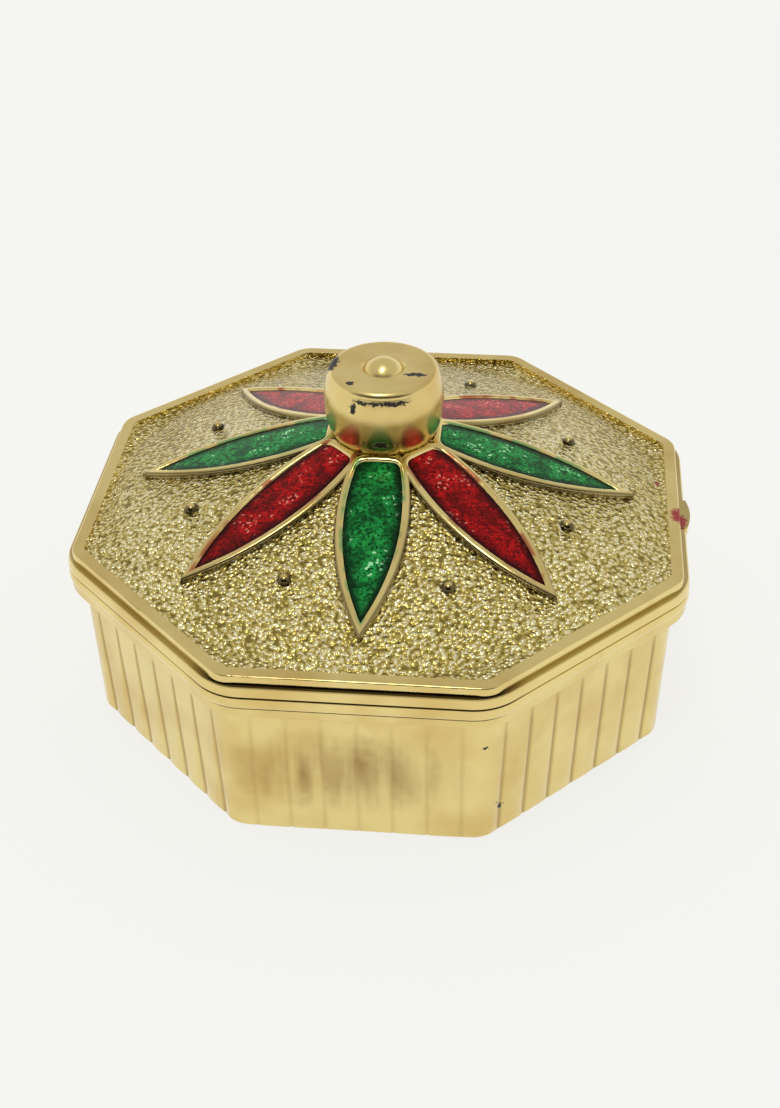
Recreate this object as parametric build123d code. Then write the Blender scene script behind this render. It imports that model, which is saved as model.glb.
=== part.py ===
from build123d import *
import math
import os

# Octagonal sindoor box in gold-plated moulded plastic: a fluted tray with a
# flange and an upstanding rim, a coned lift-off lid with eight enamelled
# leaves, and a round knob staked through the middle of the lid.
# Millimetres. +Z is up and the origin is the middle of the underside.
# An octagon is given by its apothem, the distance from its middle to a side.
# Side 0 faces -Y, the front, and the sides are counted anticlockwise.

side_count = 8
side_angle = 360 / side_count

# Width of the box: half of what it measures over two sides of the lid
lid_apothem = 34.8

# Tray
tray_height = 17.6
tray_draft = 0.5
tray_corner_radius = 3.6
tray_floor = 1.5
tray_wall = 1.3
tray_inner_corner = 2.4
tray_floor_fillet = 1.2
tray_foot_chamfer = 0.3

# Flutes on the tray: shallow lobes with a crease between each two, deepest at
# the foot and running out to nothing below the flange
crease_count = 7
crease_end_margin = 0.55
crease_depth = 0.32
crease_stop = 0.5

# Flange of the tray, and the rim that stands inside the lid
flange_setback = 0.2
flange_thickness = 1.25
flange_edge_fillet = 0.3
rim_step = 0.2
rim_height = 2.0
rim_chamfer = 0.3

# Lid: the moulding round its edge, from the lowest line to the highest
lid_corner_radius = 6.4
lid_wall = 1.65
lid_fit = 0.25
lid_top_gap = 0.3
bead_height = 1.2
bead_bulge = 0.14
groove_width = 0.3
groove_depth = 0.45
band_height = 1.15
band_lean = 0.2
band_bulge = 0.07
band_chamfer = 0.12
ledge_width = 0.55
step_height = 1.0
step_slope = 0.12
border_width = 1.35
border_corner_radius = 3.0
border_edge_fillet = 0.2
field_corner_radius = 1.4
field_drop = 0.45
plate_thickness = 1.3

# Lid: the cone in the middle of the plate, and the seat for the knob
cone_margin = 0.3
cone_slope_angle = 18.6
cone_seam_angle = 164

# Leaves: a raised rim round a cell that is filled with enamel. Each side of a
# leaf is one arc, widest part of the way out, and the inner end is cut blunt
leaf_inner_end = 6.5
leaf_tip_margin = 5.7
leaf_widest_at = 13.5
leaf_half_width = 3.05
leaf_inner_corner = 0.9
leaf_rim_width = 0.95
leaf_rim_height = 0.75
leaf_rim_fillet = 0.34
leaf_cell_depth = 0.85
enamel_gap = 0.03
enamel_below_rim = 0.25

# Studs between the leaves
stud_margin = 9.5
stud_radius = 0.75
stud_sink = 0.1

# Lug on the right-hand side of the lid
lug_width = 5.6
lug_height = 1.3
lug_proud = 0.45

# Knob
knob_foot_radius = 5.6
knob_seat_gap = 0.45
knob_widest_radius = 6.75
knob_widest_height = 4.3
knob_shoulder_radius = 6.2
knob_height = 8.5
knob_shoulder_fillet = 0.7
knob_wall = 1.2
knob_top_wall = 1.4
bead_ring_radius = 2.45
bead_ring_depth = 0.25
knob_bead_radius = 2.2
knob_bead_height = 1.0
stem_radius = 1.6
stem_fit = 0.1
stake_radius = 2.7
stake_height = 0.7

# Widths that follow from the values above
rim_outer_apothem = lid_apothem - lid_wall - lid_fit
tray_top_apothem = rim_outer_apothem + rim_step
tray_foot_apothem = tray_top_apothem - tray_draft
tray_foot_side = 2 * tray_foot_apothem * math.tan(math.pi / side_count)
crease_pitch = (tray_foot_side - 2 * crease_end_margin) / crease_count
flange_apothem = lid_apothem - flange_setback
shoulder_apothem = lid_apothem - band_lean
step_apothem = shoulder_apothem - ledge_width
border_apothem = step_apothem - step_slope
field_apothem = border_apothem - border_width
cone_radius = field_apothem - cone_margin
leaf_tip = cone_radius - leaf_tip_margin
stud_circle_radius = cone_radius - stud_margin
skirt_inner_apothem = rim_outer_apothem + lid_fit

# Heights that follow from the values above
crease_run_out = tray_height - crease_stop
flange_top = tray_height + flange_thickness
rim_top = flange_top + rim_height
bead_top = flange_top + bead_height
band_foot = bead_top + groove_width
band_top = band_foot + band_height
border_top = band_top + step_height
field_height = border_top - field_drop
plate_underside = field_height - plate_thickness
rebate_top = rim_top + lid_top_gap
rim_inner_apothem = tray_top_apothem - tray_wall
rebate_inner_apothem = rim_inner_apothem - lid_fit
cone_slope = math.tan(math.radians(cone_slope_angle))
seat_height = field_height + (cone_radius - knob_foot_radius) * cone_slope
seat_room_radius = knob_foot_radius + knob_seat_gap
plate_thickness_upright = plate_thickness / math.cos(math.radians(cone_slope_angle))


def octagon(apothem, corner_radius):
    """An octagon with a side facing each axis and round corners."""
    sketch = RegularPolygon(apothem, side_count, major_radius=False, rotation=side_angle / 2)
    return fillet(sketch.vertices(), corner_radius)


def corner_at(apothem):
    """The corner radius of an octagon that runs parallel to the lid's outer edge."""
    return lid_corner_radius - (lid_apothem - apothem)


def octagon_block(foot_apothem, foot_corner, foot, top_apothem, top_corner, top):
    """A block with an octagon at each end, drawn in or out as a draft."""
    lower = Pos(0, 0, foot) * octagon(foot_apothem, foot_corner)
    upper = Pos(0, 0, top) * octagon(top_apothem, top_corner)
    return loft([lower, upper], ruled=True)


def straight_octagon(apothem, corner_radius, foot, top):
    """An upright octagonal block."""
    return extrude(Pos(0, 0, foot) * octagon(apothem, corner_radius), amount=top - foot)


def cone_height(radius, offset):
    """Height of the cone's surface at a radius, moved up by an offset."""
    return field_height + (cone_radius - radius) * cone_slope + offset


def cone_solid(offset, foot, top_radius):
    """The solid under the cone's surface, from a level foot to a flat top.

    Its seam lies between a leaf and a stud.
    """
    rim = (cone_radius, cone_height(cone_radius, offset))
    top = cone_height(top_radius, offset)
    outline = Polyline((0, foot), (cone_radius, foot), rim, (top_radius, top), (0, top), (0, foot))
    return Rot(0, 0, cone_seam_angle) * revolve(Plane.XZ * make_face(outline), Axis.Z)


def crease_cutter():
    """What one crease takes off the front side of the tray: two arcs that meet in a cusp."""
    half = crease_pitch / 2
    sag = crease_depth / 4
    left = ThreePointArc((-half, 0), (-half / 2, sag), (0, crease_depth))
    right = ThreePointArc((0, crease_depth), (half / 2, sag), (half, 0))
    outer = Polyline((half, 0), (half, -crease_depth), (-half, -crease_depth), (-half, 0))
    face = make_face([left, right, outer])
    lean = tray_top_apothem - tray_foot_apothem
    lean = lean * crease_run_out / tray_height + crease_depth
    lower = Pos(0, -tray_foot_apothem, 0) * face
    upper = Pos(0, -tray_foot_apothem - lean, crease_run_out) * face
    return loft([lower, upper], ruled=True)


def crease_cutters():
    """The cutters for every side of the tray."""
    cutter = crease_cutter()
    row = []
    for number in range(crease_count):
        row.append(Pos((number - (crease_count - 1) / 2) * crease_pitch, 0, 0) * cutter)
    cutters = []
    for side in range(side_count):
        cutters.extend([Rot(0, 0, side * side_angle) * piece for piece in row])
    return cutters


def base_shell():
    """The fluted tray with its flange and the rim that the lid fits round."""
    outside = octagon_block(
        tray_foot_apothem, tray_corner_radius, 0,
        tray_top_apothem, tray_corner_radius, tray_height)
    outside = chamfer(outside.faces().sort_by(Axis.Z)[0].edges(), tray_foot_chamfer)
    outside = outside - crease_cutters()
    flange = straight_octagon(flange_apothem, corner_at(flange_apothem), tray_height, flange_top)
    edges = flange.faces().sort_by(Axis.Z)[0].edges()
    edges = edges + flange.faces().sort_by(Axis.Z)[-1].edges()
    flange = fillet(edges, flange_edge_fillet)
    rim_corner = corner_at(rim_outer_apothem)
    rim = straight_octagon(rim_outer_apothem, rim_corner, flange_top - tray_floor, rim_top)
    rim = chamfer(rim.faces().sort_by(Axis.Z)[-1].edges(), rim_chamfer)
    hollow = octagon_block(
        tray_foot_apothem - tray_wall, tray_inner_corner, tray_floor,
        rim_inner_apothem, tray_inner_corner, rim_top + tray_floor)
    hollow = fillet(hollow.faces().sort_by(Axis.Z)[0].edges(), tray_floor_fillet)
    return outside + flange + rim - hollow


def lid_edge_section():
    """Section of the lid's edge moulding: the bead, the groove above it and the band."""
    root = field_apothem
    bead_edge = lid_apothem - bead_bulge
    bead_middle = flange_top + bead_height / 2
    groove_bottom = lid_apothem - groove_depth
    groove_middle = bead_top + groove_width / 2
    band_edge = lid_apothem - band_bulge
    band_middle = (band_edge + shoulder_apothem) / 2 + band_bulge
    shoulder_foot = band_top - band_chamfer
    lines = [
        Line((root, flange_top), (bead_edge, flange_top)),
        ThreePointArc((bead_edge, flange_top), (lid_apothem, bead_middle), (bead_edge, bead_top)),
        Line((bead_edge, bead_top), (groove_bottom, groove_middle)),
        Line((groove_bottom, groove_middle), (band_edge, band_foot)),
        ThreePointArc(
            (band_edge, band_foot),
            (band_middle, (band_foot + shoulder_foot) / 2),
            (shoulder_apothem, shoulder_foot)),
        Line((shoulder_apothem, shoulder_foot), (shoulder_apothem - band_chamfer, band_top)),
        Line((shoulder_apothem - band_chamfer, band_top), (root, band_top)),
        Line((root, band_top), (root, flange_top)),
    ]
    return make_face(lines)


def lid_border():
    """The raised border round the field, from the band up, and the plate inside it."""
    block = octagon_block(
        step_apothem, border_corner_radius, band_top,
        border_apothem, border_corner_radius, border_top)
    block = fillet(block.faces().sort_by(Axis.Z)[-1].edges(), border_edge_fillet)
    return block - straight_octagon(field_apothem, field_corner_radius, field_height, border_top)


def lid_outside():
    """The lid as a solid block: the edge moulding swept round, the border, the plate and the cone."""
    section = Rot(0, 0, -90) * (Plane.XZ * lid_edge_section())
    path = octagon(lid_apothem, lid_corner_radius).wire()
    path = Pos(0, 0, flange_top) * path
    edge = sweep(section, path=path)
    core_apothem = (field_apothem + step_apothem) / 2
    core = straight_octagon(core_apothem, corner_at(core_apothem), flange_top, band_top)
    cone = cone_solid(0, flange_top, knob_foot_radius)
    return edge + core + lid_border() + cone


def leaf_outline():
    """The cell of the leaf that points along +X: a lens with a blunt inner end."""
    half_length = leaf_tip - leaf_widest_at
    far_end = leaf_widest_at - half_length
    upper = ThreePointArc((leaf_tip, 0), (leaf_widest_at, leaf_half_width), (far_end, 0))
    lower = ThreePointArc((far_end, 0), (leaf_widest_at, -leaf_half_width), (leaf_tip, 0))
    lens = make_face([upper, lower])
    length = leaf_tip - leaf_inner_end
    keep = Pos(leaf_inner_end + length / 2, 0) * Rectangle(length, 2 * leaf_tip)
    leaf = Sketch() + (lens & keep)
    inner = leaf.vertices().sort_by(Axis.X)[:2]
    return fillet(inner, leaf_inner_corner)


def point_to_side(shape, side):
    """Turn what was drawn along +X so that it points to a side, or to a corner at a half."""
    return Rot(0, 0, -90 + side * side_angle) * shape


def upright(sketch):
    """Everything above a flat outline, from the foot of the lid to past its top."""
    return extrude(Pos(0, 0, flange_top) * sketch, amount=seat_height)


def leaf_rim():
    """The raised rim of one leaf, with its top rounded over on both sides."""
    outline = offset(leaf_outline(), leaf_rim_width, kind=Kind.INTERSECTION)
    ring = upright(outline) - upright(leaf_outline())
    ring = ring & cone_solid(leaf_rim_height, plate_underside, stem_radius)
    crest = ring.faces().sort_by(Axis.Z)[-1]
    return fillet(crest.edges(), leaf_rim_fillet)


def leaf_cell():
    """The hollow that one leaf's enamel fills."""
    floor = cone_solid(leaf_rim_height - leaf_cell_depth, flange_top, stem_radius)
    return upright(leaf_outline()) - floor


def stud():
    """One round stud, on the cone between two leaves."""
    height = cone_height(stud_circle_radius, -stud_sink)
    return Pos(stud_circle_radius, 0, height) * Sphere(stud_radius)


def lug():
    """The low lug on the right-hand side of the lid's band."""
    half = lug_width / 2
    chord = Line((lid_apothem, -half), (lid_apothem, half))
    nose = ThreePointArc((lid_apothem, half), (lid_apothem + lug_proud, 0), (lid_apothem, -half))
    root = Pos(lid_apothem - lug_proud, 0) * Rectangle(2 * lug_proud, lug_width)
    sketch = make_face([chord, nose]) + root
    foot = band_foot + (band_height - lug_height) * 0.4
    return extrude(Pos(0, 0, foot) * sketch, amount=lug_height)


def lid_hollow():
    """What is open under the lid: the skirt, the groove for the tray's rim and the cone."""
    skirt = straight_octagon(
        skirt_inner_apothem, corner_at(skirt_inner_apothem), flange_top, plate_underside)
    groove = straight_octagon(
        skirt_inner_apothem, corner_at(skirt_inner_apothem), plate_underside, rebate_top)
    groove = groove - straight_octagon(
        rebate_inner_apothem, corner_at(rebate_inner_apothem), plate_underside, rebate_top)
    under = cone_solid(-plate_thickness_upright, flange_top, knob_foot_radius)
    return skirt + groove + under


def lid_shell():
    """The whole lid but its knob and enamel."""
    sides = range(side_count)
    rim = leaf_rim()
    cell = leaf_cell()
    pip = stud()
    lid = lid_outside() + [point_to_side(rim, side) for side in sides]
    lid = lid - [point_to_side(cell, side) for side in sides]
    lid = lid + [point_to_side(pip, side + 0.5) for side in sides]
    lid = lid + lug()
    seat_room = Pos(0, 0, seat_height + knob_height / 2) * Cylinder(seat_room_radius, knob_height)
    stem_hole = Pos(0, 0, seat_height) * Cylinder(stem_radius + stem_fit, 4 * plate_thickness)
    return lid - seat_room - stem_hole - lid_hollow()


def knob():
    """The hollow round knob with its bead, and the stem that is staked under the lid."""
    foot = seat_height
    top = foot + knob_height
    ceiling = foot - plate_thickness_upright
    stake_foot = ceiling - stake_height
    inside_top = top - knob_top_wall
    shoulder = top - knob_shoulder_fillet
    inner_foot = knob_foot_radius - knob_wall
    inner_top = knob_shoulder_radius - knob_wall
    slant = knob_shoulder_fillet * (1 - math.sqrt(0.5))
    ring_floor = top - bead_ring_depth
    bead_top_height = top + knob_bead_height
    bead_rise = bead_top_height - ring_floor
    bead_sphere = (knob_bead_radius ** 2 + bead_rise ** 2) / (2 * bead_rise)
    half_turn = math.asin(knob_bead_radius / bead_sphere) / 2
    bead_side = bead_top_height - bead_sphere * (1 - math.cos(half_turn))
    outline = [
        Line((0, stake_foot), (stake_radius, stake_foot)),
        Line((stake_radius, stake_foot), (stake_radius, ceiling)),
        Line((stake_radius, ceiling), (stem_radius, ceiling)),
        Line((stem_radius, ceiling), (stem_radius, inside_top)),
        Line((stem_radius, inside_top), (inner_top, inside_top)),
        Line((inner_top, inside_top), (inner_foot, foot)),
        Line((inner_foot, foot), (knob_foot_radius, foot)),
        ThreePointArc(
            (knob_foot_radius, foot),
            (knob_widest_radius, foot + knob_widest_height),
            (knob_shoulder_radius, shoulder)),
        ThreePointArc(
            (knob_shoulder_radius, shoulder),
            (knob_shoulder_radius - slant, top - slant),
            (knob_shoulder_radius - knob_shoulder_fillet, top)),
        Line((knob_shoulder_radius - knob_shoulder_fillet, top), (bead_ring_radius, top)),
        Line((bead_ring_radius, top), (knob_bead_radius, ring_floor)),
        ThreePointArc(
            (knob_bead_radius, ring_floor),
            (bead_sphere * math.sin(half_turn), bead_side),
            (0, bead_top_height)),
        Line((0, bead_top_height), (0, stake_foot)),
    ]
    return revolve(Plane.XZ * make_face(outline), Axis.Z)


def enamel():
    """The enamel of the leaf that points along +X, a little below its rim."""
    outline = offset(leaf_outline(), -enamel_gap, kind=Kind.INTERSECTION)
    floor_offset = leaf_rim_height - leaf_cell_depth + enamel_gap
    floor = cone_solid(floor_offset, flange_top, stem_radius)
    top = cone_solid(leaf_rim_height - enamel_below_rim, flange_top, stem_radius)
    return (upright(outline) & top) - floor


os.makedirs("parts", exist_ok=True)

export_step(base_shell(), "parts/base_shell.step")
export_step(lid_shell(), "parts/lid_shell.step")
export_step(knob(), "parts/knob.step")

# The leaves are green towards four sides and red towards the four between
leaf_places = ["front", "front_right", "right", "back_right", "back", "back_left", "left", "front_left"]
leaf_colours = ["green", "red"]
one_enamel = enamel()
for side, place in enumerate(leaf_places):
    colour = leaf_colours[side % 2]
    export_step(point_to_side(one_enamel, side), f"parts/enamel_{place}_{colour}.step")
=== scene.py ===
import math

import bpy
from mathutils import Matrix, Vector

# Octagonal sindoor box in gold-lacquered metallised plastic, with glitter
# enamel in eight raised leaves. Metres, in the CAD model's frame: +Z is up,
# the front faces -Y, and the lid rides on its own body.

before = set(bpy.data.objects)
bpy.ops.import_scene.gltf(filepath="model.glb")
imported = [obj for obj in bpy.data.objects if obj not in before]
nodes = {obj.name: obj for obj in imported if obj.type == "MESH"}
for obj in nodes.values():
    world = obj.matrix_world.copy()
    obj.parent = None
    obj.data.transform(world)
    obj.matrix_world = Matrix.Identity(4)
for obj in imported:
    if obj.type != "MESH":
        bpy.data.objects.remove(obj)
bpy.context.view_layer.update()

MM = 0.001

# Sizes that the finish follows, as in the CAD source, in millimetres
FIELD_APOTHEM = 32.58
FIELD_HEIGHT = 22.05
CONE_RADIUS = 32.28
CONE_SLOPE = math.tan(math.radians(18.6))
LEAF_WIDEST_AT = 13.5
LEAF_HALF_LENGTH = 13.08
LEAF_HALF_WIDTH = 3.05

# Turn between neighbouring leaves, and half of it
LEAF_TURN = math.radians(45)
HALF_LEAF_TURN = LEAF_TURN / 2


def srgb(hex_colour):
    """A linear colour for a node from an sRGB hex value."""
    values = [int(hex_colour[i:i + 2], 16) / 255 for i in (1, 3, 5)]
    linear = [v / 12.92 if v <= 0.04045 else ((v + 0.055) / 1.055) ** 2.4 for v in values]
    return (*linear, 1.0)


def add(tree, kind, settings):
    """Adds one node. A setting goes to the property or the socket of its name or number,
    a socket given as a setting is linked, and "stops" are a colour ramp's colours."""
    node = tree.nodes.new("ShaderNode" + kind)
    for name, value in settings.items():
        if name == "stops":
            ramp = node.color_ramp
            while len(ramp.elements) < len(value):
                ramp.elements.new(0.5)
            for element, (place, colour) in zip(ramp.elements, value):
                element.position = place
                element.color = colour
        elif isinstance(value, bpy.types.NodeSocket):
            tree.links.new(value, node.inputs[name])
        elif isinstance(name, str) and hasattr(node, name):
            setattr(node, name, value)
        else:
            node.inputs[name].default_value = value
    return node


def new_material(name):
    """An empty node material with its output, as (material, tree, output)."""
    material = bpy.data.materials.new(name)
    material.use_nodes = True
    tree = material.node_tree
    tree.nodes.clear()
    output = add(tree, "OutputMaterial", {})
    return material, tree, output


# Gold lacquer over bright aluminium: plain film and warmer film; the grain's colours, darker olive in its
# valleys as painted shade and near white on its crowns as painted highlight; and a painted brown reflection
GOLD = srgb("#EDD892")
GOLD_DEEP = srgb("#DCBF76")
GRAIN_VALLEY_SHADE = srgb("#8F7E3E")
LACQUER_SLOPE = srgb("#D2BD66")
GRAIN_CROWN_HIGHLIGHT = srgb("#FFF8D2")
PAINTED_BROWN_REFLECTION = srgb("#8E6A34")

# What shows where the film has chipped off, also used as a painted dark reflection on the knob's shoulder,
# and the colours that strayed from the leaves
BARE_CHIP_AND_DARK_REFLECTION = srgb("#241C14")
RED_PAINT = srgb("#A81E18")
GREEN_PAINT = srgb("#5FAE6C")

# Painted shade and painted dark reflection along the mouldings' hollows: the heights between which it lies,
# in millimetres.
# The same dark colour is painted along the rims' feet and round the studs
LID_SHADE_LINES = ((20.02, 20.36), (21.46, 21.66))
TRAY_SHADE_LINES = ((17.25, 17.62), (18.80, 18.95))
DARK_SHADE_AND_REFLECTION = srgb("#2A2113")
# Colour of the painted shade down the tray's creases
CREASE_SHADE = srgb("#A08244")

# Where the tray's creases and the lid's studs are, as in the CAD source, in millimetres
CREASE_PITCH = 3.70
CREASED_WALL_APOTHEM = 31.9
STUD_CIRCLE = 22.78
STUD_RADIUS = 0.75

# Spacing and depth of the patterns, in millimetres
GRAIN_PITCH = 0.46
GRAIN_DEPTH = 0.17
PEEL_PITCH = 1.6
PEEL_DEPTH = 0.014
CLOUD_WIDTH = 9.0
LAP_WIDTH = 3.5
STREAK_WIDTH = 2.2
STREAK_STRETCH = 0.10
REFLECTION_PATCH_EDGE = 1.5
CHIP_EDGE = 0.55
POOL_WIDTH = 2.4
FLAKE_WIDTH = 0.26
FLAKE_DEPTH = 0.10

# Roughness of the plating: the tray and the knob are duller than the lid
TRAY_GLOSS = 0.24
LID_GLOSS = 0.14
KNOB_GLOSS = 0.26

# Chips in the knob's plating, the last of them a painted dark reflection across its front shoulder, and pits
# in the tray's: middle and half size, in millimetres
KNOB_CHIPS_AND_DARK_REFLECTION = (
    ((-5.8, 0.5, 39.3), (0.9, 1.9, 0.8)),
    ((3.7, -1.5, 39.5), (1.5, 0.5, 0.5)),
    ((-3.3, -3.9, 39.5), (0.5, 0.4, 0.5)),
    ((0.2, -6.4, 33.3), (0.9, 0.8, 0.5)),
    ((-2.8, -5.9, 37.5), (0.4, 0.8, 0.7)),
    # Not a chip: a painted dark reflection along the front of the knob's shoulder
    ((0.35, -5.8, 38.4), (3.6, 1.1, 0.28)),
)
TRAY_PITS = (
    ((15.1, -30.8, 3.7), (0.30, 0.5, 0.55)),
    ((14.6, -31.2, 4.6), (0.22, 0.5, 0.25)),
    ((13.4, -32.8, 13.5), (0.25, 0.5, 0.25)),
)
LID_PAINT = (
    ((33.9, -1.7, 22.1), (1.3, 1.9, 0.9)),
    ((31.6, 5.2, 22.2), (0.4, 0.5, 0.5)),
)
# Where a brown reflection is painted on the tray's front wall
FRONT_REFLECTION_PATCH = (((-1.5, -33.0, 8.9), (14.5, 6.0, 6.4)),)
NO_MARKS = ()


def round_axis(tree, place):
    """A point's x, y and z, the same with no height, its distance from the box's axis and its
    angle round it."""
    parts = add(tree, "SeparateXYZ", {0: place})
    flat = add(tree, "CombineXYZ", {0: parts.outputs[0], 1: parts.outputs[1]})
    radius = add(tree, "VectorMath", {"operation": "LENGTH", 0: flat.outputs[0]})
    angle = add(tree, "Math", {"operation": "ARCTAN2", 0: parts.outputs[1], 1: parts.outputs[0]})
    return parts, flat, radius.outputs["Value"], angle.outputs[0]


def nearest_eighth(tree, radius, angle):
    """How far a point lies across and along the nearest of the eight leaves or sides."""
    folded = add(tree, "Math", {"operation": "PINGPONG", 0: angle, 1: HALF_LEAF_TURN})
    sine = add(tree, "Math", {"operation": "SINE", 0: folded.outputs[0]})
    cosine = add(tree, "Math", {"operation": "COSINE", 0: folded.outputs[0]})
    across = add(tree, "Math", {"operation": "MULTIPLY", 0: radius, 1: sine.outputs[0]})
    along = add(tree, "Math", {"operation": "MULTIPLY", 0: radius, 1: cosine.outputs[0]})
    return across.outputs[0], along.outputs[0]


def pebble_grain(tree, place, pitch):
    """Height of a moulded pebble grain: rounded grains of one pitch with worn valleys between."""
    warp = add(tree, "TexNoise", {"Vector": place, "Scale": 0.7 / pitch, "Detail": 1.0})
    shifted = add(tree, "VectorMath", {"operation": "MULTIPLY_ADD", 0: warp.outputs["Color"],
                                       1: (pitch, pitch, pitch), 2: place})
    cells = add(tree, "TexVoronoi", {"feature": "SMOOTH_F1", "Vector": shifted.outputs[0],
                                     "Scale": 1 / pitch, "Smoothness": 0.45})
    height = add(tree, "MapRange", {"Value": cells.outputs["Distance"], "From Min": 0.12, "From Max": 0.80,
                                    "To Min": 1.0, "To Max": 0.0})
    return height.outputs[0]


def field_mask(tree, place):
    """1 on the grained field of the lid, 0 on its leaves, studs, border and underside."""
    parts, flat, radius, angle = round_axis(tree, place)
    inward = add(tree, "Math", {"operation": "SUBTRACT", 0: CONE_RADIUS * MM, 1: radius})
    on_cone = add(tree, "Math", {"operation": "MAXIMUM", 0: inward.outputs[0], 1: 0.0})
    surface = add(tree, "Math", {"operation": "MULTIPLY_ADD", 0: on_cone.outputs[0],
                                 1: CONE_SLOPE, 2: FIELD_HEIGHT * MM})
    above = add(tree, "Math", {"operation": "SUBTRACT", 0: parts.outputs[2], 1: surface.outputs[0]})
    off = add(tree, "Math", {"operation": "ABSOLUTE", 0: above.outputs[0]})
    near = add(tree, "MapRange", {"Value": off.outputs[0], "From Min": 0.10 * MM, "From Max": 0.25 * MM,
                                  "To Min": 1.0, "To Max": 0.0})
    widest = None
    for quarter in range(4):
        turn = LEAF_TURN * quarter
        side = add(tree, "VectorMath", {"operation": "DOT_PRODUCT", 0: flat.outputs[0],
                                        1: (math.cos(turn), math.sin(turn), 0)})
        reach = add(tree, "Math", {"operation": "ABSOLUTE", 0: side.outputs["Value"]})
        if widest is not None:
            reach = add(tree, "Math", {"operation": "MAXIMUM", 0: reach.outputs[0], 1: widest.outputs[0]})
        widest = reach
    inside = add(tree, "Math", {"operation": "LESS_THAN", 0: widest.outputs[0], 1: FIELD_APOTHEM * MM})
    mask = add(tree, "Math", {"operation": "MULTIPLY", 0: near.outputs[0], 1: inside.outputs[0]})
    return mask.outputs[0]


def outside_leaf(tree, place):
    """How far outside the edge of the nearest leaf a point lies, in metres, below 0 inside it."""
    parts, flat, radius, angle = round_axis(tree, place)
    across, along = nearest_eighth(tree, radius, angle)
    share = add(tree, "MapRange", {"Value": along, "clamp": False,
                                   "From Min": LEAF_WIDEST_AT * MM,
                                   "From Max": (LEAF_WIDEST_AT + LEAF_HALF_LENGTH) * MM})
    square = add(tree, "Math", {"operation": "MULTIPLY", 0: share.outputs[0], 1: share.outputs[0]})
    half_width = add(tree, "Math", {"operation": "MULTIPLY_ADD", 0: square.outputs[0],
                                    1: -LEAF_HALF_WIDTH * MM, 2: LEAF_HALF_WIDTH * MM})
    outside = add(tree, "Math", {"operation": "SUBTRACT", 0: across, 1: half_width.outputs[0]})
    return outside.outputs[0]


def by_green_leaf(tree, place):
    """1 where the nearest leaf is a green one, 0 where it is red."""
    parts, flat, radius, angle = round_axis(tree, place)
    wide = add(tree, "Math", {"operation": "PINGPONG", 0: angle, 1: LEAF_TURN})
    green = add(tree, "Math", {"operation": "LESS_THAN", 0: wide.outputs[0], 1: HALF_LEAF_TURN})
    return green.outputs[0]


def marks(tree, place, ragged, core, spots):
    """1 inside any of the ragged patches, fading to 0 from core of the way out. Each spot is a
    middle and a half size in millimetres, and ragged is how far its edge wanders."""
    wander = add(tree, "TexNoise", {"Vector": place, "Scale": 1.2 / (ragged * MM), "Detail": 3.0})
    swing = 2 * ragged * MM
    centred = add(tree, "VectorMath", {"operation": "SUBTRACT", 0: wander.outputs["Color"],
                                       1: (0.5, 0.5, 0.5)})
    moved = add(tree, "VectorMath", {"operation": "MULTIPLY_ADD", 0: centred.outputs[0],
                                     1: (swing, swing, swing), 2: place})
    result = None
    for middle, size in spots:
        gap = add(tree, "VectorMath", {"operation": "SUBTRACT", 0: moved.outputs[0],
                                       1: [value * MM for value in middle]})
        share = add(tree, "VectorMath", {"operation": "DIVIDE", 0: gap.outputs[0],
                                         1: [value * MM for value in size]})
        reach = add(tree, "VectorMath", {"operation": "LENGTH", 0: share.outputs[0]})
        spot = add(tree, "MapRange", {"Value": reach.outputs["Value"], "From Min": core, "From Max": 1.0,
                                      "To Min": 1.0, "To Max": 0.0})
        if result is not None:
            spot = add(tree, "Math", {"operation": "MAXIMUM", 0: spot.outputs[0], 1: result.outputs[0]})
        result = spot
    return result.outputs[0]


def moulding_shade_lines(tree, place, heights):
    """Painted shade and dark reflection in the edge mouldings' hollows: dark along the front, faint
    elsewhere.
    """
    parts = add(tree, "SeparateXYZ", {0: place})
    front = add(tree, "MapRange", {"Value": parts.outputs[1], "From Min": -33.5 * MM, "From Max": -31.0 * MM,
                                   "To Min": 0.9, "To Max": 0.3})
    result = None
    for low_edge, high_edge in heights:
        middle = (low_edge + high_edge) / 2 * MM
        half = (high_edge - low_edge) / 2 * MM
        rise = add(tree, "Math", {"operation": "SUBTRACT", 0: parts.outputs[2], 1: middle})
        gap = add(tree, "Math", {"operation": "ABSOLUTE", 0: rise.outputs[0]})
        line = add(tree, "MapRange", {"Value": gap.outputs[0], "From Min": 0.6 * half,
                                      "From Max": 1.1 * half, "To Min": 1.0, "To Max": 0.0})
        if result is not None:
            line = add(tree, "Math", {"operation": "MAXIMUM", 0: line.outputs[0], 1: result.outputs[0]})
        result = line
    lines = add(tree, "Math", {"operation": "MULTIPLY", 0: result.outputs[0], 1: front.outputs[0]})
    return lines.outputs[0]


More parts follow.
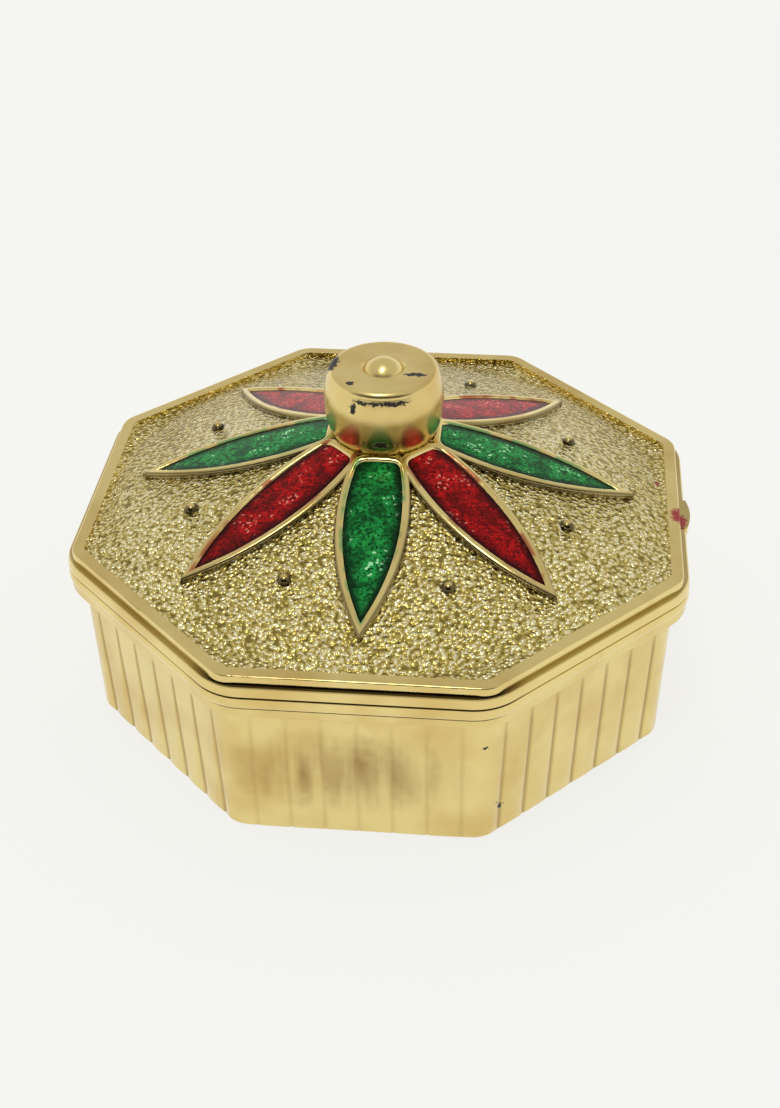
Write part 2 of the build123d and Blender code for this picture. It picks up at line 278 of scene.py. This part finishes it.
def crease_shade(tree, place):
    """Painted shade down the creases between the flutes of the tray's wall."""
    parts, flat, radius, angle = round_axis(tree, place)
    across, out = nearest_eighth(tree, radius, angle)
    gap = add(tree, "Math", {"operation": "PINGPONG", 0: across, 1: CREASE_PITCH * MM / 2})
    line = add(tree, "MapRange", {"Value": gap.outputs[0], "From Min": 0.05 * MM, "From Max": 0.42 * MM,
                                  "To Min": 0.65, "To Max": 0.0})
    outside = add(tree, "Math", {"operation": "GREATER_THAN", 0: out, 1: CREASED_WALL_APOTHEM * MM})
    below = add(tree, "MapRange", {"Value": parts.outputs[2], "From Min": 14.0 * MM, "From Max": 17.4 * MM,
                                   "To Min": 1.0, "To Max": 0.0})
    fainter_front = add(tree, "MapRange", {"Value": parts.outputs[1], "From Min": -32.3 * MM,
                                           "From Max": -30.5 * MM, "To Min": 0.3, "To Max": 1.0})
    short = add(tree, "Math", {"operation": "MULTIPLY", 0: line.outputs[0], 1: below.outputs[0]})
    short = add(tree, "Math", {"operation": "MULTIPLY", 0: short.outputs[0], 1: fainter_front.outputs[0]})
    crease = add(tree, "Math", {"operation": "MULTIPLY", 0: short.outputs[0], 1: outside.outputs[0]})
    return crease.outputs[0]


def stud_shade_ring(tree, place):
    """1 in a painted ring of shade and dark reflection round the foot of each stud, and 0 on its crown."""
    parts, flat, radius, angle = round_axis(tree, place)
    between = add(tree, "Math", {"operation": "ADD", 0: angle, 1: HALF_LEAF_TURN})
    folded = add(tree, "Math", {"operation": "PINGPONG", 0: between.outputs[0], 1: HALF_LEAF_TURN})
    across = add(tree, "Math", {"operation": "MULTIPLY", 0: folded.outputs[0], 1: radius})
    along = add(tree, "Math", {"operation": "SUBTRACT", 0: radius, 1: STUD_CIRCLE * MM})
    apart = add(tree, "CombineXYZ", {0: across.outputs[0], 1: along.outputs[0]})
    reach = add(tree, "VectorMath", {"operation": "LENGTH", 0: apart.outputs[0]})
    inner = add(tree, "MapRange", {"Value": reach.outputs["Value"], "From Min": 0.35 * STUD_RADIUS * MM,
                                   "From Max": 0.7 * STUD_RADIUS * MM, "To Min": 0.0, "To Max": 1.0})
    outer = add(tree, "MapRange", {"Value": reach.outputs["Value"], "From Min": 1.0 * STUD_RADIUS * MM,
                                   "From Max": 1.3 * STUD_RADIUS * MM, "To Min": 1.0, "To Max": 0.0})
    foot = add(tree, "Math", {"operation": "MULTIPLY", 0: inner.outputs[0], 1: outer.outputs[0]})
    return foot.outputs[0]


def plated_plastic(name, grained, gloss, shade_lines, chips_and_dark_reflection, reflection_patches, paint):
    """Vacuum-metallised polystyrene under gold lacquer: a soft mirror with a thin clear film
    that is a little cloudy and is dark where it has chipped off. Painted light lies on it too:
    shade in the grain's valleys, highlights on its crowns, shade and dark reflections along
    the mouldings, creases, rim feet and studs and on the knob's shoulder, and a brown
    reflection on the tray's front."""
    material, tree, output = new_material(name)
    place = add(tree, "TexCoord", {}).outputs["Object"]

    # The film's thickness varies over some 9 mm (CLOUD_WIDTH), which the eye sees as warmer and paler gold
    cloud = add(tree, "TexNoise", {"Vector": place, "Scale": 1 / (CLOUD_WIDTH * MM), "Detail": 3.0})
    tone = add(tree, "ValToRGB", {"Fac": cloud.outputs["Fac"],
                                  "stops": [(0.32, GOLD_DEEP), (0.58, GOLD)]})
    colour = tone.outputs["Color"]
    polish = add(tree, "MapRange", {"Value": cloud.outputs["Fac"], "From Min": 0.3, "From Max": 0.7,
                                    "To Min": gloss - 0.04, "To Max": gloss + 0.04})
    roughness = polish.outputs[0]
    metal = 1.0

    # Orange peel of a moulded surface
    peel = add(tree, "TexNoise", {"Vector": place, "Scale": 1 / (PEEL_PITCH * MM), "Detail": 2.0})
    relief = add(tree, "Bump", {"Height": peel.outputs["Fac"], "Distance": PEEL_DEPTH * MM})

    if grained:
        mask = field_mask(tree, place)
        grain = pebble_grain(tree, place, GRAIN_PITCH * MM)
        # Painted shade in the grain's valleys and painted highlight on its crowns, set by the grain's height
        shade = add(tree, "ValToRGB", {"Fac": grain, "stops": [
            (0.05, GRAIN_VALLEY_SHADE), (0.4, LACQUER_SLOPE), (0.85, GRAIN_CROWN_HIGHLIGHT)]})
        colour = add(tree, "Mix", {"data_type": "RGBA", 0: mask, 6: colour,
                                   7: shade.outputs["Color"]}).outputs[2]
        height = add(tree, "Math", {"operation": "MULTIPLY", 0: grain, 1: mask})
        relief = add(tree, "Bump", {"Height": height.outputs[0], "Distance": GRAIN_DEPTH * MM,
                                    "Normal": relief.outputs[0]})

        # Enamel lapped over parts of the rims by the brush that filled the leaves
        outside = outside_leaf(tree, place)
        green = by_green_leaf(tree, place)
        inner = add(tree, "MapRange", {"Value": outside, "From Min": -0.3 * MM, "From Max": -0.1 * MM,
                                       "To Min": 0.0, "To Max": 1.0})
        outer = add(tree, "MapRange", {"Value": outside, "From Min": 0.25 * MM, "From Max": 0.6 * MM,
                                       "To Min": 1.0, "To Max": 0.0})
        lapped = add(tree, "TexNoise", {"Vector": place, "Scale": 1 / (LAP_WIDTH * MM), "Detail": 2.0})
        some = add(tree, "MapRange", {"Value": lapped.outputs["Fac"], "From Min": 0.48, "From Max": 0.58,
                                      "To Min": 0.0, "To Max": 0.75})
        ring = add(tree, "Math", {"operation": "MULTIPLY", 0: inner.outputs[0], 1: outer.outputs[0]})
        lap = add(tree, "Math", {"operation": "MULTIPLY", 0: ring.outputs[0], 1: some.outputs[0]})
        paint_of_leaf = add(tree, "Mix", {"data_type": "RGBA", 0: green, 6: RED_PAINT, 7: GREEN_PAINT})
        colour = add(tree, "Mix", {"data_type": "RGBA", 0: lap.outputs[0], 6: colour,
                                   7: paint_of_leaf.outputs[2]}).outputs[2]

        # Painted shade and dark reflection along the outer foot of the rims and round the studs
        foot = add(tree, "MapRange", {"Value": outside, "From Min": 0.72 * MM, "From Max": 0.92 * MM,
                                      "To Min": 0.0, "To Max": 1.0})
        past = add(tree, "MapRange", {"Value": outside, "From Min": 1.0 * MM, "From Max": 1.2 * MM,
                                      "To Min": 0.7, "To Max": 0.0})
        line = add(tree, "Math", {"operation": "MULTIPLY", 0: foot.outputs[0], 1: past.outputs[0]})
        around = add(tree, "Math", {"operation": "MULTIPLY", 0: stud_shade_ring(tree, place), 1: 0.85})
        rim_and_stud_shade = add(tree, "Math", {"operation": "MAXIMUM", 0: line.outputs[0], 1: around.outputs[0]})
        above = add(tree, "SeparateXYZ", {0: place})
        on_top = add(tree, "Math", {"operation": "GREATER_THAN", 0: above.outputs[2], 1: FIELD_HEIGHT * MM})
        rim_and_stud_shade = add(tree, "Math", {"operation": "MULTIPLY", 0: rim_and_stud_shade.outputs[0], 1: on_top.outputs[0]})
        colour = add(tree, "Mix", {"data_type": "RGBA", 0: rim_and_stud_shade.outputs[0], 6: colour, 7: DARK_SHADE_AND_REFLECTION}).outputs[2]

    if shade_lines:
        # Painted shade and dark reflection along the mouldings
        moulding_shade = moulding_shade_lines(tree, place, shade_lines)
        colour = add(tree, "Mix", {"data_type": "RGBA", 0: moulding_shade, 6: colour, 7: DARK_SHADE_AND_REFLECTION}).outputs[2]

    if reflection_patches:
        # Painted shade down the creases, switched on with the painted brown reflection
        crease = crease_shade(tree, place)
        colour = add(tree, "Mix", {"data_type": "RGBA", 0: crease, 6: colour, 7: CREASE_SHADE}).outputs[2]

        # Painted brown reflection: soft streaks down the front wall, about 2 mm apart
        wide = add(tree, "VectorMath", {"operation": "MULTIPLY", 0: place, 1: (1.0, 1.0, STREAK_STRETCH)})
        streak = add(tree, "TexNoise", {"Vector": wide.outputs[0],
                                        "Scale": 1 / (STREAK_WIDTH * MM), "Detail": 2.0})
        bands = add(tree, "MapRange", {"Value": streak.outputs["Fac"], "From Min": 0.38, "From Max": 0.66,
                                       "To Min": 0.15, "To Max": 0.75})
        zone = marks(tree, place, REFLECTION_PATCH_EDGE, 0.25, reflection_patches)
        brown = add(tree, "Math", {"operation": "MULTIPLY", 0: bands.outputs[0], 1: zone})
        colour = add(tree, "Mix", {"data_type": "RGBA", 0: brown.outputs[0], 6: colour,
                                   7: PAINTED_BROWN_REFLECTION}).outputs[2]

    # Bare chips and pits, also a painted dark reflection on the knob, then stray red paint
    for spots, spot_colour in ((chips_and_dark_reflection, BARE_CHIP_AND_DARK_REFLECTION), (paint, RED_PAINT)):
        if spots:
            patch = marks(tree, place, CHIP_EDGE, 0.75, spots)
            colour = add(tree, "Mix", {"data_type": "RGBA", 0: patch, 6: colour, 7: spot_colour}).outputs[2]
            metal = add(tree, "Math", {"operation": "SUBTRACT", 0: metal, 1: patch,
                                       "use_clamp": True}).outputs[0]
            roughness = add(tree, "Math", {"operation": "MULTIPLY_ADD", 0: patch, 1: 0.3,
                                           2: roughness}).outputs[0]

    shader = add(tree, "BsdfPrincipled", {
        "Base Color": colour, "Metallic": metal, "Roughness": roughness,
        "Coat Weight": 0.2, "Coat Roughness": 0.10, "Coat IOR": 1.5, "Normal": relief.outputs[0]})
    tree.links.new(shader.outputs[0], output.inputs[0])
    return material


def glitter_enamel(name, edge, deep, bright, spark):
    """Nail-lacquer enamel full of fine glitter: near black towards the rims,
    deep in the middle, with small bright flakes that catch the light."""
    material, tree, output = new_material(name)
    place = add(tree, "TexCoord", {}).outputs["Object"]
    # Real flakes are finer, about 0.1 mm: they are drawn coarser here, so that they show
    flakes = add(tree, "TexVoronoi", {"Vector": place, "Scale": 1 / (FLAKE_WIDTH * MM)})
    pick = add(tree, "SeparateColor", {0: flakes.outputs["Color"]})
    cloud = add(tree, "TexNoise", {"Vector": place, "Scale": 1 / (POOL_WIDTH * MM), "Detail": 3.0})
    pool = add(tree, "MapRange", {"Value": cloud.outputs["Fac"], "From Min": 0.38, "From Max": 0.6,
                                  "To Min": 0.25, "To Max": 1.0})
    level = add(tree, "Math", {"operation": "MULTIPLY", 0: pick.outputs[0], 1: pool.outputs[0]})
    tone = add(tree, "ValToRGB", {"Fac": level.outputs[0], "stops": [
        (0.05, srgb(deep)), (0.6, srgb(bright)), (0.82, srgb(bright)), (0.91, srgb(spark))]})
    outside = outside_leaf(tree, place)
    rim_side = add(tree, "MapRange", {"Value": outside, "From Min": -1.15 * MM, "From Max": -0.2 * MM,
                                      "To Min": 0.0, "To Max": 0.92})
    colour = add(tree, "Mix", {"data_type": "RGBA", 0: rim_side.outputs[0], 6: tone.outputs["Color"],
                               7: srgb(edge)})
    grit = add(tree, "Bump", {"Height": pick.outputs[1], "Distance": FLAKE_DEPTH * MM})
    shader = add(tree, "BsdfPrincipled", {
        "Base Color": colour.outputs[2], "Roughness": 0.34, "Metallic": 0.75, "Specular IOR Level": 0.2,
        "Coat Weight": 0.09, "Coat Roughness": 0.06, "Coat IOR": 1.5, "Normal": grit.outputs[0]})
    tree.links.new(shader.outputs[0], output.inputs[0])
    return material


def dress(node, material):
    """Gives a CAD node its finish."""
    mesh_slots = nodes[node].material_slots
    for number in range(len(mesh_slots)):
        mesh_slots[number].material = material


tray_plating = plated_plastic("gold_plating_tray", False, TRAY_GLOSS, TRAY_SHADE_LINES,
                              TRAY_PITS, FRONT_REFLECTION_PATCH, NO_MARKS)
lid_plating = plated_plastic("gold_plating_lid", True, LID_GLOSS, LID_SHADE_LINES,
                             NO_MARKS, NO_MARKS, LID_PAINT)
knob_plating = plated_plastic("gold_plating_knob", False, KNOB_GLOSS, NO_MARKS,
                              KNOB_CHIPS_AND_DARK_REFLECTION, NO_MARKS, NO_MARKS)
dress("base_shell", tray_plating)
dress("lid_shell", lid_plating)
dress("knob", knob_plating)
green_enamel = glitter_enamel("green_glitter_enamel", "#03200E", "#044A1E", "#26A84F", "#B8FFC4")
red_enamel = glitter_enamel("red_glitter_enamel", "#2A0305", "#66050A", "#D01418", "#FF8F80")
for name in nodes:
    if name.startswith("enamel"):
        dress(name, green_enamel if name.endswith("green") else red_enamel)

# Colours of the studio, and how much of the floor is lit and how much is plain paper white
PAPER = srgb("#FCFCF9")
HORIZON = srgb("#FAFAF8")
OVERHEAD = srgb("#CFCDC6")
DARK_SIDE = srgb("#15120E")
PLAIN_SHARE = 0.8


def studio():
    """A pale floor, and a soft grey-white room that is darker behind the camera."""
    mesh = bpy.data.meshes.new("floor")
    half = 3.0
    corners = [(-half, -half, 0), (half, -half, 0), (half, half, 0), (-half, half, 0)]
    mesh.from_pydata(corners, [], [(0, 1, 2, 3)])
    floor = bpy.data.objects.new("floor", mesh)
    bpy.context.scene.collection.objects.link(floor)
    floor.location.z = -0.02 * MM
    material, tree, output = new_material("pale_paper_floor")
    ray = add(tree, "LightPath", {})
    seen = add(tree, "Math", {"operation": "MAXIMUM", 0: ray.outputs["Is Camera Ray"],
                              1: ray.outputs["Is Glossy Ray"]})
    share = add(tree, "Math", {"operation": "MULTIPLY", 0: seen.outputs[0], 1: PLAIN_SHARE})
    paper = add(tree, "BsdfDiffuse", {"Color": PAPER})
    plain = add(tree, "Emission", {"Color": PAPER, "Strength": 1.0})
    both = add(tree, "MixShader", {0: share.outputs[0], 1: paper.outputs[0], 2: plain.outputs[0]})
    tree.links.new(both.outputs[0], output.inputs[0])
    mesh.materials.append(material)

    world = bpy.data.worlds.new("soft_room")
    bpy.context.scene.world = world
    world.use_nodes = True
    tree = world.node_tree
    tree.nodes.clear()
    way = add(tree, "SeparateXYZ", {0: add(tree, "TexCoord", {}).outputs["Generated"]})
    rise = add(tree, "ValToRGB", {"Fac": way.outputs[2], "stops": [
        (0.0, HORIZON), (0.2, HORIZON), (0.5, OVERHEAD)]})
    low = add(tree, "ValToRGB", {"Fac": way.outputs[2], "stops": [
        (0.05, (0, 0, 0, 1)), (0.12, (1, 1, 1, 1)), (0.62, (1, 1, 1, 1)), (0.76, (0, 0, 0, 1))]})
    behind = add(tree, "MapRange", {"Value": way.outputs[1], "From Min": -0.35, "From Max": -0.65,
                                    "To Min": 0.0, "To Max": 0.95})
    dark = add(tree, "Math", {"operation": "MULTIPLY", 0: low.outputs["Color"], 1: behind.outputs[0]})
    room = add(tree, "Mix", {"data_type": "RGBA", 0: dark.outputs[0], 6: rise.outputs["Color"],
                             7: DARK_SIDE})
    light = add(tree, "Background", {"Color": room.outputs[2], "Strength": 1.0})
    output = add(tree, "OutputWorld", {})
    tree.links.new(light.outputs[0], output.inputs[0])


def softbox(name, place, target, width, height, power):
    """One rectangular softbox that looks at a point."""
    data = bpy.data.lights.new(name, "AREA")
    data.shape = "RECTANGLE"
    data.size = width
    data.size_y = height
    data.energy = power
    lamp = bpy.data.objects.new(name, data)
    bpy.context.scene.collection.objects.link(lamp)
    lamp.location = place
    lamp.rotation_mode = "QUATERNION"
    lamp.rotation_quaternion = (Vector(target) - Vector(place)).to_track_quat("-Z", "Y")


studio()
softbox("top_softbox", (-0.06, -0.20, 0.80), (0, 0, 0.02), 0.16, 0.34, 1.1)


# The solved camera: its aim in degrees, its place in metres, and its lens in millimetres
CAMERA_AZIMUTH = 5.721
CAMERA_ELEVATION = 35.971
CAMERA_ROLL = -0.681
CAMERA_PLACE = (0.01707, -0.16560, 0.13471)
CAMERA_LENS = 55.97
CAMERA_SENSOR = 36.0


def photo_camera():
    """The camera at the photograph's viewing angle, from its solved place and aim."""
    azimuth = math.radians(CAMERA_AZIMUTH)
    elevation = math.radians(CAMERA_ELEVATION)
    roll = math.radians(CAMERA_ROLL)
    back = Vector((math.sin(azimuth) * math.cos(elevation),
                   -math.cos(azimuth) * math.cos(elevation), math.sin(elevation)))
    right = (-back).cross(Vector((0, 0, 1))).normalized()
    up = back.cross(right)
    x_axis = math.cos(roll) * right + math.sin(roll) * up
    y_axis = math.cos(roll) * up - math.sin(roll) * right
    data = bpy.data.cameras.new("photo_camera")
    data.sensor_fit = "VERTICAL"
    data.sensor_height = CAMERA_SENSOR
    data.sensor_width = CAMERA_SENSOR
    data.lens = CAMERA_LENS
    camera = bpy.data.objects.new("photo_camera", data)
    bpy.context.scene.collection.objects.link(camera)
    turn = Matrix((x_axis, y_axis, back)).transposed().to_4x4()
    camera.matrix_world = Matrix.Translation(CAMERA_PLACE) @ turn
    data.clip_start = 0.01
    data.clip_end = 20.0
    bpy.context.scene.camera = camera


photo_camera()
bpy.context.scene.view_settings.view_transform = "Standard"
